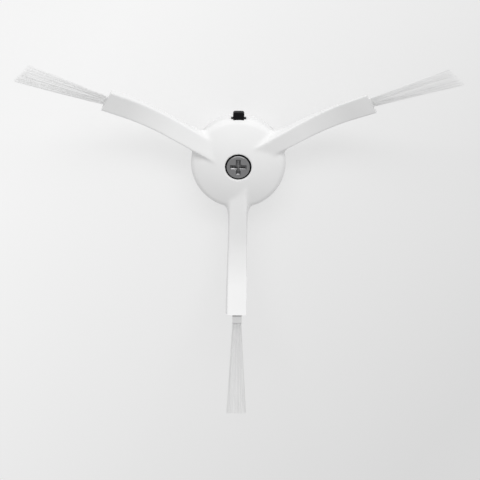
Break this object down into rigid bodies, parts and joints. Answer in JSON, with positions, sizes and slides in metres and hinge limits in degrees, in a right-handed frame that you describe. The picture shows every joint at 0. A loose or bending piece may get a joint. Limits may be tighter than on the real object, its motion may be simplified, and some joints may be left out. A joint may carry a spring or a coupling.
{
  "type": "robot vacuum side brush",
  "caption": "Side brush for a robot vacuum: domed hub with a captive screw, rising twisted arms, and a flat fan of bristles in each arm's end.",
  "frame": {"origin": "on the hub's axis, in the plane of the hub's open underside, which rests on the floor", "axes": "+Z along the hub's axis towards the screw head; -Y along one arm; the clip's tab points to +Y"},
  "size_m": [0.1366, 0.1152, 0.0357],
  "materials": {
    "white_plastic": "fine satin moulded surface",
    "screw_steel": "plain zinc-grey, lightly brushed",
    "black_plastic": "matte moulded surface",
    "bristle_nylon": "pale translucent filaments"
  },
  "bodies": {
    "brush": {"brush_body": "white_plastic", "screw_retainer": "black_plastic", "seat_ring": "black_plastic", "bristle_tuft_right": "bristle_nylon", "bristle_tuft_left": "bristle_nylon", "bristle_tuft_front": "bristle_nylon"},
    "screw": {"captive_screw": "screw_steel"}
  },
  "joints": [
    {"name": "screw_turn", "type": "hinge", "parent": "brush", "child": "screw", "pos_m": [0, 0, 0.0082], "axis": [0, 0, 1], "continuous": true}
  ]
}
